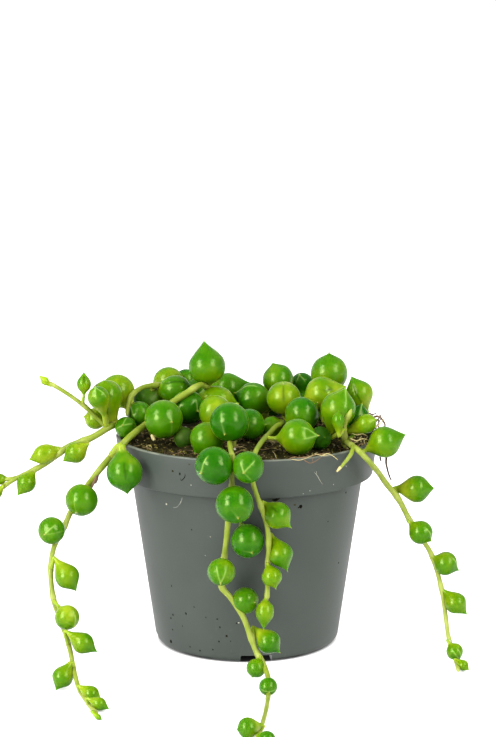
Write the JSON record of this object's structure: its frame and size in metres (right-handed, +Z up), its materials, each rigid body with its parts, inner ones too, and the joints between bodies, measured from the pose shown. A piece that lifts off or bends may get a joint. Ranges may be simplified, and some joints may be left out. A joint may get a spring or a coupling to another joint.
{
  "type": "potted string of watermelons plant",
  "caption": "Small trailing succulent with bead-like pointed leaves, its stems spilling over the rim of a tapered plastic nursery pot filled with dark potting soil",
  "frame": {"origin": "on the ground under the middle of the pot, on its flat foot", "axes": "+Z up along the pot's axis; -Y towards the side where the longest stem lies on the ground; +X to the right seen from there"},
  "size_m": [0.1125, 0.1178, 0.0691],
  "materials": {
    "pot_plastic": "satin grey-green injection moulded plastic",
    "soil": "dark loose peat with fibres, bark crumbs and white grains",
    "leaf": "glossy succulent leaf skin, yellow-green at the stalk to deep green",
    "stem": "smooth lime green stem skin",
    "root": "dry brown root fibres"
  },
  "bodies": {
    "root": {"pot": "pot_plastic", "soil": "soil", "stem_upper_left": "leaf", "stem_arched": "leaf", "stem_left": "leaf", "stem_middle_left": "leaf", "stem_middle_right": "leaf", "stem_front_right": "leaf", "stem_right": "leaf", "stem_back_right": "leaf", "stem_trailing_back_left": "leaf", "stem_trailing_back": "leaf", "stem_trailing_back_right": "leaf"}
  },
  "joints": []
}
